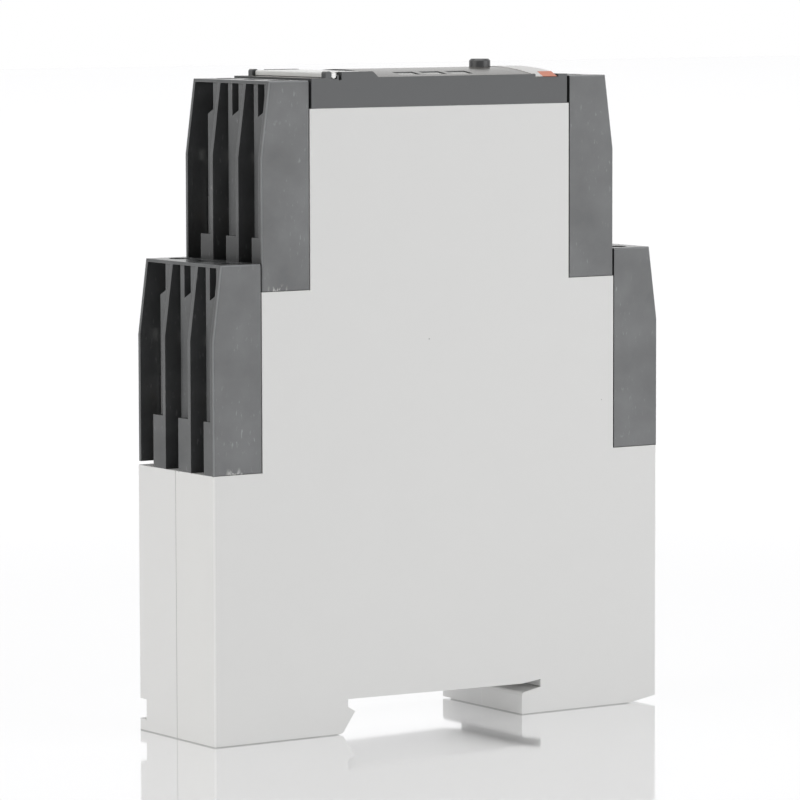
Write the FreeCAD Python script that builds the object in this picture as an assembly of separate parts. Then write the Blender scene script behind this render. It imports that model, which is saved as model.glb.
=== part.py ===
"""Rail-mounted monitoring relay, 22.5 mm wide, lying on its rail side with the front face up.

Frame: millimetres, +Z up towards the front face, X along the housing's height, Y across its width.
The origin is the centre of the bounding box's bottom face.
"""
import FreeCAD, Part
import math
import os

Vector = FreeCAD.Vector

# Housing envelope
body_length = 85.6
body_width = 22.5
lower_ledge_z = 42.35
tier_rise = 28.15
crest_rise = 28.2
tier_step = 8.97
shell_wall = 1.5
near_edge_radius = 0.5
far_edge_radius = 0.15
seam_chamfer = 0.08

# Rail side of the housing: a fixed hook, a deep lip and the ceiling between them
hook_tip_x = -16.73
hook_tip_z = 3.52
hook_undercut = 1.33
hook_lead_run = 2.3
hook_lead_rise = 0.25
hook_toe_run = 1.2
lip_x = 15.58
lip_z = 3.6
lip_undercut = 3.72
lip_round = 0.7
grip_z = 4.3
rail_ceiling_z = 5.1
rail_corner_rise = 0.45
heel_run = 6.2
heel_rise = 0.98
lip_relief_run = 2.3
lip_relief_rise = 0.24

# Side pocket in the foot of the far half shell
pocket_low_z = 1.9
pocket_high_z = 5.1
pocket_depth = 2.0
pocket_length = 14.0

# Terminal blocks
block_height = 32.6
block_gap = 0.2
block_kink_drop = 11.9
block_taper = 1.58
block_edge_radius = 0.35
block_foot_chamfer = 0.15
cell_count = 3
fin_thickness = 0.75
fin_setback = 0.1
near_wall = 0.85
block_floor = 0.8
block_flange = 0.5
cell_recess = 1.6
front_wall = 1.8
back_wall = 0.8
plinth_reach = 2.8
slot_reach = 4.5
last_slot_reach = 3.05
last_slot_depth = 5.2
plinth_height = 8.35
notch_height = 5.6
notch_reach = 1.45
notch_width = 1.9
notch_slant = 0.9
foot_relief_height = 0.6
foot_relief_run = 2.8
chamber_width = 5.8
screw_bore_diameter = 3.6

# Clamp screws, cages and contact bars, heights above the block's base
screw_shank_diameter = 3.0
screw_head_diameter = 4.2
screw_head_height = 1.8
screw_head_top = 21.4
screw_head_clearance = 0.5
screw_point_clearance = 0.05
drive_slot_width = 0.7
drive_slot_length = 2.9
drive_slot_depth = 1.0
thread_clearance = 0.08
thread_facets = 20
cage_side_clearance = 0.2
cage_side = 0.8
cage_base = 1.3
cage_top = 2.5
cage_lift = 2.6
cage_wire_rest = 0.7
cage_bar_clearance = 0.3
bar_top = 11.2
bar_thickness = 1.0
bar_window_clearance = 0.2
bar_slot_clearance = 0.15
bar_reach_step = 4.3
bar_leg_width = 2.4
bar_board_gap = 0.05

# Front cover
cover_gap = 0.35
cover_height = 4.72
crown_rise = 1.05
crown_start_offset = 8.25
crown_end_inset = 1.81
cover_plate = 1.5
cover_lip_wall = 1.0
cover_lip_clearance = 0.1
label_dip_length = 4.4
label_dip_overrun = 0.1
label_dip_drop = 0.52
label_dip_run = 2.2

# Marker flap, its pins, and the ears and walls of the cover beside it
flap_pivot_inset = 4.26
flap_pivot_rise = 0.38
flap_pin_diameter = 0.96
flap_pin_clearance = 0.04
flap_pin_inset = 0.15
flap_thickness = 0.78
flap_heel = 1.15
flap_reach = 7.65
flap_clearance = 0.15
flap_swing_clearance = 0.15
flap_pocket_depth = 1.12
flap_side_wall = 1.2
ear_length = 1.1
ear_rise = 1.03
ear_round = 0.4
pin_post_rise = 0.45
pin_post_length = 0.3
pin_gap_drop = 0.35
raised_wall_offset = 1.35
raised_wall_length = 5.9
raised_wall_rise = 0.93
raised_wall_slope_run = 1.0
raised_wall_round = 0.6

# Setting switch under the flap
setting_count = 4
setting_pitch = 2.54
setting_body_length = 6.0
setting_body_margin = 0.8
setting_body_proud = 0.1
setting_window_clearance = 0.15
slider_width = 1.2
slider_length = 1.3
slider_travel = 1.8
slider_depth = 1.0
slider_height = 0.7
slider_clearance = 0.1

# Push button and tact switch
button_inset = 7.45
button_diameter = 3.45
button_clearance = 0.1
button_rise = 1.28
button_bevel = 0.3
button_flange_diameter = 5.4
button_flange_height = 0.8
button_flange_gap = 0.05
button_travel = 0.5
tact_side = 6.0
tact_height = 3.4
plunger_diameter = 3.4
plunger_clearance = 0.08
plunger_sink = 0.8

# Status windows and lights
window_count = 3
window_first_offset = 7.15
window_pitch = 5.05
window_edge_inset = 2.8
window_length = 3.7
window_width = 2.5
window_sink = 0.12
window_clearance = 0.05
light_length = 3.0
light_width = 1.6
light_height = 2.4
light_gap = 0.1

# Boards and what they carry
board_thickness = 1.6
board_edge_gap = 0.45
main_board_inset = 3.75
front_board_drop = 3.3
relay_length = 29.0
relay_width = 12.6
relay_wall_gap = 1.45
relay_end_inset = 32.5
relay_spacing = 15.0
relay_floor_gap = 2.95
transformer_length = 18.0
transformer_width = 16.0
transformer_wall_gap = 2.45
transformer_end_inset = 15.8
transformer_floor_gap = 12.95
transformer_core_width = 6.0
transformer_core_margin = 1.5
capacitor_diameter = 10.0
capacitor_wall_gap = 2.45
capacitor_floor_gap = 9.95
capacitor_spacing = 13.0
chip_length = 10.0
chip_width = 7.5
chip_height = 2.3
chip_rise = 17.65

# Worked out from the sizes above
half_length = body_length / 2
half_width = body_width / 2
upper_ledge_z = lower_ledge_z + tier_rise
body_top_z = upper_ledge_z + crest_rise
block_depth = tier_step - block_gap
cell_pitch = body_width / cell_count
chamber_start = cell_recess + front_wall
chamber_end = block_depth - back_wall
screw_inset = (chamber_start + chamber_end) / 2
cavity_floor_z = rail_ceiling_z + rail_corner_rise + shell_wall
cage_width = chamber_width - 2 * cage_side_clearance
cage_depth = chamber_end - chamber_start - 2 * cage_side_clearance
cage_window_width = cage_width - 2 * cage_side
cage_window_top = bar_top + cage_bar_clearance
cage_window_height = cage_bar_clearance + bar_thickness + cage_lift + cage_wire_rest
bar_width = cage_window_width - 2 * bar_window_clearance
chamber_top = screw_head_top + screw_head_clearance
tier_inset = {"lower": 0.0, "upper": tier_step}
tier_base_z = {"lower": lower_ledge_z, "upper": upper_ledge_z}
end_sign = {"left": -1, "right": 1}
cell_centres = [-half_width + cell_pitch * (cell + 0.5) for cell in range(cell_count)]
opening_half_length = half_length - 2 * tier_step - shell_wall
opening_half_width = half_width - shell_wall
front_board_z = body_top_z - front_board_drop
front_board_top_z = front_board_z + board_thickness
board_face_y = -half_width + main_board_inset + board_thickness / 2
component_room = opening_half_width - board_face_y
relay_height = component_room - relay_wall_gap
relay_first_x = half_length - relay_end_inset
relay_low_z = cavity_floor_z + relay_floor_gap
transformer_height = component_room - transformer_wall_gap
transformer_x = -half_length + transformer_end_inset
transformer_z = cavity_floor_z + transformer_floor_gap
capacitor_height = component_room - capacitor_wall_gap
capacitor_x = (transformer_x + transformer_length / 2 + relay_first_x - relay_width / 2) / 2
capacitor_first_z = cavity_floor_z + capacitor_floor_gap
chip_z = lower_ledge_z + chip_rise
cover_half_length = half_length - 2 * tier_step - cover_gap
cover_edge_z = body_top_z + cover_height
cover_ceiling_z = cover_edge_z - cover_plate
flap_pivot_x = -cover_half_length + flap_pivot_inset
flap_pivot_z = cover_edge_z + flap_pivot_rise
flap_pocket_floor_z = cover_edge_z - flap_pocket_depth
ear_top_z = cover_edge_z + ear_rise
pin_post_top_z = cover_edge_z + pin_post_rise
pin_seat_radius = flap_pin_diameter / 2 + flap_pin_clearance
pin_post_start_x = flap_pivot_x + pin_seat_radius
pin_post_end_x = pin_post_start_x + pin_post_length
raised_wall_start_x = flap_pivot_x + raised_wall_offset
raised_wall_end_x = raised_wall_start_x + raised_wall_length
raised_wall_top_z = cover_edge_z + raised_wall_rise
crown_start_x = flap_pivot_x + crown_start_offset
crown_end_x = cover_half_length - crown_end_inset
crown_top_z = cover_edge_z + crown_rise
label_dip_start_x = crown_end_x - label_dip_length
label_dip_end_x = crown_end_x + label_dip_overrun
pocket_ceiling_z = flap_pocket_floor_z - cover_plate
flap_wall_y = half_width - flap_side_wall
flap_start_x = flap_pivot_x - flap_heel
flap_end_x = flap_pivot_x + flap_reach
flap_pocket_start_x = flap_start_x - flap_swing_clearance - flap_clearance
flap_pocket_end_x = flap_end_x + flap_clearance
setting_body_width = setting_count * setting_pitch + 2 * setting_body_margin
setting_x = (raised_wall_start_x + raised_wall_end_x) / 2
setting_body_top_z = flap_pocket_floor_z + setting_body_proud
button_x = crown_end_x - button_inset
button_top_z = crown_top_z + button_rise
window_first_x = crown_start_x + window_first_offset
window_y = -half_width + window_edge_inset
far_reach = 200.0


def box(low, high):
    """Return the box between two opposite corners."""
    size = [high[axis] - low[axis] for axis in range(3)]
    return Part.makeBox(size[0], size[1], size[2], Vector(*low))


def cylinder_z(x, y, low_z, high_z, diameter):
    """Return an upright cylinder."""
    return Part.makeCylinder(diameter / 2, high_z - low_z, Vector(x, y, low_z), Vector(0, 0, 1))


def facet_prism_z(x, y, low_z, high_z, radius, sides):
    """Return an upright prism of few sides, with its corners on a circle."""
    corners = []
    for side in range(sides + 1):
        angle = 2 * math.pi * side / sides
        corners.append(Vector(x + radius * math.cos(angle), y + radius * math.sin(angle), low_z))
    return Part.Face(Part.makePolygon(corners)).extrude(Vector(0, 0, high_z - low_z))


def prism_along_y(outline, low_y, high_y):
    """Return the solid that an X-Z outline sweeps between two Y planes."""
    points = [Vector(x, low_y, z) for x, z in outline]
    face = Part.Face(Part.makePolygon(points + points[:1]))
    return face.extrude(Vector(0, high_y - low_y, 0))


def prism_along_x(outline, low_x, high_x):
    """Return the solid that a Y-Z outline sweeps between two X planes."""
    points = [Vector(low_x, y, z) for y, z in outline]
    face = Part.Face(Part.makePolygon(points + points[:1]))
    return face.extrude(Vector(high_x - low_x, 0, 0))


def edges_on(shape, test):
    """Return the edges whose middle point passes a test."""
    chosen = []
    for edge in shape.Edges:
        middle = edge.valueAt((edge.FirstParameter + edge.LastParameter) / 2)
        if test(middle):
            chosen.append(edge)
    return chosen


def near(value, target):
    """Return whether two coordinates agree."""
    return abs(value - target) < 1e-4


def mirrored(shape):
    """Return a copy on the other end of the housing, as a mirror image."""
    return shape.mirror(Vector(0, 0, 0), Vector(1, 0, 0))


def housing_outline():
    """Return the housing's X-Z outline: stepped ends, rail hook and rail lip."""
    lower_end = half_length - tier_step
    upper_end = half_length - 2 * tier_step
    hook_slot_x = hook_tip_x - hook_undercut
    lip_slot_x = lip_x + lip_undercut
    hook_lead_x = hook_tip_x - hook_lead_run
    return [
        (-half_length, 0),
        (-half_length, lower_ledge_z),
        (-lower_end, lower_ledge_z),
        (-lower_end, upper_ledge_z),
        (-upper_end, upper_ledge_z),
        (-upper_end, body_top_z),
        (upper_end, body_top_z),
        (upper_end, upper_ledge_z),
        (lower_end, upper_ledge_z),
        (lower_end, lower_ledge_z),
        (half_length, lower_ledge_z),
        (half_length, heel_rise),
        (half_length - heel_run, 0),
        (lip_x, 0),
        (lip_x, lip_z),
        (lip_slot_x, grip_z),
        (lip_slot_x, rail_ceiling_z + rail_corner_rise),
        (lip_x, rail_ceiling_z),
        (hook_slot_x, rail_ceiling_z + rail_corner_rise),
        (hook_slot_x, grip_z),
        (hook_tip_x, hook_tip_z),
        (hook_lead_x, hook_lead_rise),
        (hook_lead_x - hook_toe_run, 0),
    ]


def stepped_outline(inset, low_z, high_z):
    """Return an outline that follows the stepped ends from inside, at a given distance."""
    widths = [half_length - step * tier_step - inset for step in range(3)]
    lower_z = lower_ledge_z - inset
    upper_z = upper_ledge_z - inset
    right = [
        (widths[0], low_z),
        (widths[0], lower_z),
        (widths[1], lower_z),
        (widths[1], upper_z),
        (widths[2], upper_z),
        (widths[2], high_z),
    ]
    left = [(-x, z) for x, z in reversed(right)]
    return right + left


def half_shell(side):
    """Return one half of the housing; side is -1 for the near half and 1 for the far half."""
    outer_y = side * half_width
    shell = prism_along_y(housing_outline(), 0, outer_y)
    corners = edges_on(shell, lambda p: near(abs(p.x), half_length) and near(p.y, outer_y))
    shell = shell.makeFillet(near_edge_radius if side < 0 else far_edge_radius, corners)
    lip_corner = edges_on(shell, lambda p: near(p.x, lip_x) and near(p.z, lip_z))
    shell = shell.makeFillet(lip_round, lip_corner)
    seams = edges_on(shell, lambda p: near(abs(p.x), half_length) and near(p.y, 0))
    shell = shell.makeChamfer(seam_chamfer, seams)
    cavity = stepped_outline(shell_wall, cavity_floor_z, body_top_z)
    shell = shell.cut(prism_along_y(cavity, 0, side * opening_half_width))
    for tier in tier_inset:
        for end in end_sign:
            for y in cell_centres:
                shell = shell.cut(bar_slot(tier, end, y))
    if side > 0:
        low = (-half_length - pocket_depth, half_width - pocket_depth, pocket_low_z)
        high = (-half_length + pocket_length, half_width + pocket_depth, pocket_high_z)
        shell = shell.cut(box(low, high))
        relief_low = (0, half_width - lip_relief_run, -lip_relief_rise)
        shell = shell.cut(box(relief_low, (half_length, half_width, lip_relief_rise)))
    return shell


def bar_slot(tier, end, y):
    """Return the clearance slot that lets a contact bar through the walls behind a block."""
    outer_x = half_length - tier_inset[tier] - chamber_end + back_wall / 2
    inner_x = half_length - tier_inset[tier] - tier_step - 2 * shell_wall
    base_z = tier_base_z[tier]
    half = bar_width / 2 + bar_slot_clearance
    low_z = base_z + bar_top - bar_thickness - bar_slot_clearance
    high_z = base_z + bar_top + bar_slot_clearance
    slot = box((inner_x, y - half, low_z), (outer_x + back_wall, y + half, high_z))
    return mirrored(slot) if end_sign[end] < 0 else slot


def block_body():
    """Return the plain outer form of the lower left block: upright, then leaning in to its top."""
    start_x = -half_length
    kink_z = lower_ledge_z + block_height - block_kink_drop
    top_z = lower_ledge_z + block_height
    outline = [
        (start_x, lower_ledge_z),
        (start_x, kink_z),
        (start_x + block_taper, top_z),
        (start_x + block_depth, top_z),
        (start_x + block_depth, lower_ledge_z),
    ]
    body = prism_along_y(outline, -half_width, half_width)
    sides = edges_on(
        body,
        lambda p: near(abs(p.y), half_width)
        and p.z > lower_ledge_z + block_edge_radius
        and p.x < start_x + block_depth - block_edge_radius,
    )
    body = body.makeFillet(block_edge_radius, sides)
    for side in (-1, 1):
        foot = [
            (side * half_width, lower_ledge_z),
            (side * (half_width - block_foot_chamfer), lower_ledge_z),
            (side * half_width, lower_ledge_z + block_foot_chamfer),
        ]
        body = body.cut(prism_along_x(foot, start_x, start_x + block_depth))
    return body


def cell_cut(cell):
    """Return what is open in one cell: recess, wire slot, clamp chamber, screw bore and notch."""
    start_x = -half_length
    base_z = lower_ledge_z
    flange_z = base_z + block_height - block_flange
    floor_z = base_z + block_floor
    outside_x = start_x - far_reach
    cell_low = -half_width + cell_pitch * cell
    cell_start = cell_low + near_wall if cell == 0 else cell_low - fin_setback
    cell_end = cell_low + cell_pitch - fin_thickness - fin_setback
    last_cell = cell == cell_count - 1
    plinth_end = cell_low + plinth_reach
    slot_start = cell_low + (last_slot_reach if last_cell else slot_reach)
    recess_x = start_x + cell_recess
    chamber_x = start_x + chamber_start
    back_x = start_x + chamber_end
    centre_y = cell_centres[cell]
    chamber_low_y = centre_y - chamber_width / 2
    chamber_high_y = centre_y + chamber_width / 2
    recess = box((outside_x, cell_start, base_z + plinth_height), (recess_x, cell_end, flange_z))
    mouth = box((outside_x, plinth_end, base_z), (recess_x, cell_end, flange_z))
    slot = box((recess_x, slot_start, base_z), (chamber_x, cell_end, flange_z))
    chamber_low = (chamber_x, chamber_low_y, floor_z)
    chamber = box(chamber_low, (back_x, chamber_high_y, base_z + chamber_top))
    bore_x = start_x + screw_inset
    bore = cylinder_z(bore_x, centre_y, base_z + chamber_top, flange_z + far_reach, screw_bore_diameter)
    sill_z = base_z + block_height - notch_height
    notch_low = cell_low + notch_reach
    notch_high = notch_low + notch_width
    notch_outline = [
        (notch_low, sill_z + notch_slant),
        (notch_high, sill_z),
        (notch_high, flange_z),
        (notch_low, flange_z),
    ]
    notch = prism_along_x(notch_outline, recess_x, chamber_x)
    cuts = [recess, mouth, slot, chamber, bore, notch]
    if last_cell:
        deep_low = (recess_x, slot_start, base_z + chamber_top)
        cuts.append(box(deep_low, (start_x + last_slot_depth, cell_end, flange_z)))
    return cuts


def terminal_block(tier, end):
    """Return one terminal block, built at the lower left and carried to its place."""
    block = block_body()
    for cell in range(cell_count):
        for cut in cell_cut(cell):
            block = block.cut(cut)
    relief_low = (-half_length - 1, half_width - fin_thickness - fin_setback, lower_ledge_z - 1)
    relief_high = (-half_length + foot_relief_run, half_width + 1, lower_ledge_z + foot_relief_height)
    block = block.cut(box(relief_low, relief_high))
    for y in cell_centres:
        block = block.cut(bar_slot("lower", "left", y))
    rise = tier_base_z[tier] - lower_ledge_z
    block.translate(Vector(tier_inset[tier], 0, rise))
    return mirrored(block) if end_sign[end] > 0 else block


def screw_place(tier, end, cell):
    """Return a clamp screw's axis in X and Y, and its block's base height."""
    x = end_sign[end] * (half_length - tier_inset[tier] - screw_inset)
    return x, cell_centres[cell], tier_base_z[tier]


def clamp_screw(tier, end, cell):
    """Return one clamp screw: a cross-slotted cheese head on a shank that ends on the bar."""
    x, y, base_z = screw_place(tier, end, cell)
    head_top = base_z + screw_head_top
    head_low = head_top - screw_head_height
    point_z = base_z + bar_top + screw_point_clearance
    head = cylinder_z(x, y, head_low, head_top, screw_head_diameter)
    shank = facet_prism_z(x, y, point_z, head_low, screw_shank_diameter / 2, thread_facets)
    screw = head.fuse(shank)
    slot_low_z = head_top - drive_slot_depth
    across = drive_slot_length / 2
    thin = drive_slot_width / 2
    screw = screw.cut(box((x - across, y - thin, slot_low_z), (x + across, y + thin, head_top)))
    return screw.cut(box((x - thin, y - across, slot_low_z), (x + thin, y + across, head_top)))


def lift_cage(tier, end, cell):
    """Return one lift cage: a box frame round the contact bar, threaded on its screw."""
    x, y, base_z = screw_place(tier, end, cell)
    window_top = base_z + cage_window_top
    window_low = window_top - cage_window_height
    half_depth = cage_depth / 2
    half_cage = cage_width / 2
    half_window = cage_window_width / 2
    low = (x - half_depth, y - half_cage, window_low - cage_base)
    high = (x + half_depth, y + half_cage, window_top + cage_top)
    window_low_corner = (x - cage_depth, y - half_window, window_low)
    window_high_corner = (x + cage_depth, y + half_window, window_top)
    cage = box(low, high).cut(box(window_low_corner, window_high_corner))
    hole_radius = (screw_shank_diameter / 2 + thread_clearance) / math.cos(math.pi / thread_facets)
    hole_top = window_top + 2 * cage_top
    return cage.cut(facet_prism_z(x, y, window_low, hole_top, hole_radius, thread_facets))


def contact_bar(tier, end, cell):
    """Return one contact bar, from its cage through the wall, with a leg to the main board."""
    base_z = tier_base_z[tier]
    y = cell_centres[cell]
    half = bar_width / 2
    low_z = base_z + bar_top - bar_thickness
    high_z = base_z + bar_top
    outer_x = half_length - tier_inset[tier] - chamber_start - cage_side_clearance
    board_x = half_length - tier_inset[tier] - tier_step - shell_wall - board_edge_gap
    if cell == 0:
        bar = box((board_x + bar_board_gap, y - half, low_z), (outer_x, y + half, high_z))
    else:
        inner_x = board_x - cell * bar_reach_step
        bar = box((inner_x, y - half, low_z), (outer_x, y + half, high_z))
        leg = box((inner_x, board_face_y, low_z), (inner_x + bar_leg_width, y, high_z))
        bar = bar.fuse(leg).removeSplitter()
    return mirrored(bar) if end_sign[end] < 0 else bar


def crown(rise, low_x, high_x):
    """Return the arched panel's solid above the cover's edge height."""
    left = Vector(low_x, -half_width, cover_edge_z)
    top = Vector(low_x, 0, cover_edge_z + rise)
    right = Vector(low_x, half_width, cover_edge_z)
    arch = Part.Arc(left, top, right).toShape()
    chord = Part.makeLine(right, left)
    face = Part.Face(Part.Wire([arch, chord]))
    return face.extrude(Vector(high_x - low_x, 0, 0))


def flap_side(side):
    """Return the ear, pin post and raised wall that flank the flap on one side."""
    ear_end_x = flap_pivot_x - pin_seat_radius
    ear_start_x = ear_end_x - ear_length
    inner_y = side * flap_wall_y
    outer_y = side * half_width
    ear_outline = [
        (ear_start_x, cover_edge_z),
        (ear_start_x, ear_top_z),
        (ear_end_x, ear_top_z),
        (ear_end_x, cover_edge_z),
    ]
    wall_outline = [
        (raised_wall_start_x, cover_edge_z),
        (raised_wall_start_x, raised_wall_top_z),
        (raised_wall_end_x, raised_wall_top_z),
        (raised_wall_end_x + raised_wall_slope_run, cover_edge_z),
    ]
    ear = prism_along_y(ear_outline, inner_y, outer_y)
    ear_corners = edges_on(ear, lambda p: near(p.z, ear_top_z) and near(p.y, (inner_y + outer_y) / 2))
    wall = prism_along_y(wall_outline, inner_y, outer_y)
    brow = edges_on(wall, lambda p: near(p.z, raised_wall_top_z) and near(p.x, raised_wall_end_x))
    low_y, high_y = sorted((inner_y, outer_y))
    post = box((pin_post_start_x, low_y, cover_edge_z), (pin_post_end_x, high_y, pin_post_top_z))
    return [ear.makeFillet(ear_round, ear_corners), post, wall.makeFillet(raised_wall_round, brow)]


def window_centres():
    """Return the X places of the status windows."""
    return [window_first_x + window_pitch * step for step in range(window_count)]


def window_box(x, clearance, low_z, high_z):
    """Return an upright bar with a status window's outline, grown by a clearance."""
    half_x = window_length / 2 + clearance
    half_y = window_width / 2 + clearance
    return box((x - half_x, window_y - half_y, low_z), (x + half_x, window_y + half_y, high_z))


def cover_hollow():
    """Return the space under the front cover: deep below the crown, shallower below the flap."""
    wall_x = cover_half_length - shell_wall
    wall_y = half_width - shell_wall
    step_x = flap_pocket_end_x + cover_plate
    under_flap = box((-wall_x, -wall_y, body_top_z), (step_x, wall_y, pocket_ceiling_z))
    under_crown = box((step_x, -wall_y, body_top_z), (wall_x, wall_y, cover_ceiling_z))
    return under_flap.fuse(under_crown)


def cover_lip():
    """Return the rim that locates the cover in the housing's mouth and holds the front board."""
    outer_x = opening_half_length - cover_lip_clearance
    outer_y = opening_half_width - cover_lip_clearance
    inner_x = outer_x - cover_lip_wall
    inner_y = outer_y - cover_lip_wall
    top_z = body_top_z + cover_plate
    rim = box((-outer_x, -outer_y, front_board_top_z), (outer_x, outer_y, top_z))
    return rim.cut(box((-inner_x, -inner_y, front_board_top_z), (inner_x, inner_y, top_z)))


def front_cover():
    """Return the front cover with its crowned panel, flap bay, button hole and window holes."""
    low = (-cover_half_length, -half_width, body_top_z)
    cover = box(low, (cover_half_length, half_width, cover_edge_z))
    cover = cover.fuse(crown(crown_rise, crown_start_x, crown_end_x))
    for side in (-1, 1):
        for piece in flap_side(side):
            cover = cover.fuse(piece)
    cover = cover.cut(cover_hollow()).fuse(cover_lip())
    bay_low = (flap_pocket_start_x, -flap_wall_y, flap_pocket_floor_z)
    bay_high = (flap_pocket_end_x, flap_wall_y, crown_top_z)
    cover = cover.cut(box(bay_low, bay_high))
    seat_low = (flap_pivot_x - pin_seat_radius, -far_reach, flap_pivot_z - pin_seat_radius)
    cover = cover.cut(box(seat_low, (pin_post_start_x, far_reach, cover_edge_z)))
    gap_low = (pin_post_end_x, -far_reach, cover_edge_z - pin_gap_drop)
    cover = cover.cut(box(gap_low, (raised_wall_start_x, far_reach, cover_edge_z)))
    grow = setting_window_clearance
    half_x = setting_body_length / 2 + grow
    half_y = setting_body_width / 2 + grow
    window_low = (setting_x - half_x, -half_y, body_top_z)
    cover = cover.cut(box(window_low, (setting_x + half_x, half_y, cover_edge_z)))
    hole_diameter = button_diameter + 2 * button_clearance
    cover = cover.cut(cylinder_z(button_x, 0, body_top_z, button_top_z, hole_diameter))
    for x in window_centres():
        cover = cover.cut(window_box(x, window_clearance, front_board_top_z, button_top_z))
    dip_outline = [
        (-half_width, cover_edge_z - label_dip_drop),
        (-half_width + label_dip_run, cover_edge_z + label_dip_drop),
        (-half_width + label_dip_run, button_top_z),
        (-half_width, button_top_z),
    ]
    return cover.cut(prism_along_x(dip_outline, label_dip_start_x, label_dip_end_x))


def marker_flap():
    """Return the white marker flap: a thin plate with a pivot pin at each side."""
    half_plate = flap_wall_y - flap_clearance
    low_z = flap_pivot_z + flap_pin_diameter / 2 - flap_thickness
    plate = box((flap_start_x, -half_plate, low_z), (flap_end_x, half_plate, low_z + flap_thickness))
    ends = edges_on(plate, lambda p: near(p.y, 0) and near(p.z, low_z + flap_thickness))
    plate = plate.makeFillet(flap_thickness / 3, ends)
    pin_reach = half_width - flap_pin_inset
    start = Vector(flap_pivot_x, -pin_reach, flap_pivot_z)
    pin = Part.makeCylinder(flap_pin_diameter / 2, 2 * pin_reach, start, Vector(0, 1, 0))
    return plate.fuse(pin).removeSplitter()


def setting_places():
    """Return the Y places of the setting sliders."""
    middle = (setting_count - 1) / 2
    return [(step - middle) * setting_pitch for step in range(setting_count)]


def setting_body():
    """Return the setting switch's body with one open slot per slider."""
    half_x = setting_body_length / 2
    half_y = setting_body_width / 2
    top_z = setting_body_top_z
    body = box((setting_x - half_x, -half_y, front_board_top_z), (setting_x + half_x, half_y, top_z))
    half_slot_x = (slider_length + slider_travel) / 2 + slider_clearance
    half_slot_y = slider_width / 2 + slider_clearance
    for y in setting_places():
        slot_low = (setting_x - half_slot_x, y - half_slot_y, top_z - slider_depth)
        body = body.cut(box(slot_low, (setting_x + half_slot_x, y + half_slot_y, top_z)))
    return body


def setting_slider(y):
    """Return one setting slider at the end of its slot nearest to the flap's pivot."""
    start_x = setting_x - (slider_length + slider_travel) / 2
    half_y = slider_width / 2
    low_z = setting_body_top_z - slider_depth
    high_z = setting_body_top_z + slider_height
    return box((start_x, y - half_y, low_z), (start_x + slider_length, y + half_y, high_z))


def push_button():
    """Return the push button: a round cap with a bevelled rim, and a flange under the cover."""
    flange_top = cover_ceiling_z - button_flange_gap
    flange_low = flange_top - button_flange_height
    cap = cylinder_z(button_x, 0, flange_top, button_top_z, button_diameter)
    rim = edges_on(cap, lambda p: near(p.z, button_top_z))
    cap = cap.makeChamfer(button_bevel, rim)
    return cap.fuse(cylinder_z(button_x, 0, flange_low, flange_top, button_flange_diameter))


def plunger_span():
    """Return the heights of the tact plunger's ends."""
    high_z = cover_ceiling_z - button_flange_gap - button_flange_height
    low_z = front_board_top_z + tact_height - plunger_sink
    return low_z, high_z


def tact_body():
    """Return the tact switch's body with the well of its plunger."""
    half = tact_side / 2
    top_z = front_board_top_z + tact_height
    body = box((button_x - half, -half, front_board_top_z), (button_x + half, half, top_z))
    well_low = plunger_span()[0] - 2 * button_travel
    well_diameter = plunger_diameter + 2 * plunger_clearance
    return body.cut(cylinder_z(button_x, 0, well_low, top_z, well_diameter))


def tact_plunger():
    """Return the tact switch's plunger, up against the push button."""
    low_z, high_z = plunger_span()
    return cylinder_z(button_x, 0, low_z, high_z, plunger_diameter)


def status_windows():
    """Return the status windows, their tops just below the crown and shaped like it."""
    lowered = crown(crown_rise, crown_start_x, crown_end_x)
    lowered.translate(Vector(0, 0, -window_sink))
    low_z = front_board_top_z + light_height + light_gap
    edge_z = cover_edge_z - window_sink
    windows = []
    for x in window_centres():
        stem = window_box(x, 0, low_z, edge_z)
        cap = window_box(x, 0, edge_z, button_top_z).common(lowered)
        windows.append(stem.fuse(cap).removeSplitter())
    return Part.makeCompound(windows)


def status_lights():
    """Return the status lights, one below each window."""
    half_x = light_length / 2
    half_y = light_width / 2
    top_z = front_board_top_z + light_height
    lights = []
    for x in window_centres():
        low = (x - half_x, window_y - half_y, front_board_top_z)
        lights.append(box(low, (x + half_x, window_y + half_y, top_z)))
    return Part.makeCompound(lights)


def front_board():
    """Return the board behind the front face."""
    half_x = opening_half_length - board_edge_gap
    half_y = opening_half_width - board_edge_gap
    return box((-half_x, -half_y, front_board_z), (half_x, half_y, front_board_top_z))


def main_board():
    """Return the upright main board, stepped like the housing, standing on its floor."""
    outline = stepped_outline(shell_wall + board_edge_gap, cavity_floor_z, front_board_z)
    return prism_along_y(outline, board_face_y - board_thickness, board_face_y)


def output_relay(step):
    """Return one sealed output relay on the main board."""
    x = relay_first_x + relay_spacing * step
    low = (x - relay_width / 2, board_face_y, relay_low_z)
    high = (x + relay_width / 2, board_face_y + relay_height, relay_low_z + relay_length)
    case = box(low, high)
    rims = edges_on(case, lambda p: near(p.y, board_face_y + relay_height))
    return case.makeChamfer(relay_height / 20, rims)


def transformer():
    """Return the transformer: a wound bobbin with a core frame round its middle."""
    half_x = transformer_length / 2
    half_z = transformer_width / 2
    half_core = transformer_core_width / 2
    bobbin_top = board_face_y + transformer_height - transformer_core_margin
    low = (transformer_x - half_x, board_face_y, transformer_z - half_z + transformer_core_margin)
    high = (transformer_x + half_x, bobbin_top, transformer_z + half_z - transformer_core_margin)
    core_low = (transformer_x - half_core, board_face_y, transformer_z - half_z)
    core_high = (transformer_x + half_core, board_face_y + transformer_height, transformer_z + half_z)
    return box(low, high).fuse(box(core_low, core_high))


def capacitor(step):
    """Return one round capacitor standing on the main board."""
    z = capacitor_first_z + capacitor_spacing * step
    foot = Vector(capacitor_x, board_face_y, z)
    return Part.makeCylinder(capacitor_diameter / 2, capacitor_height, foot, Vector(0, 1, 0))


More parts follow.
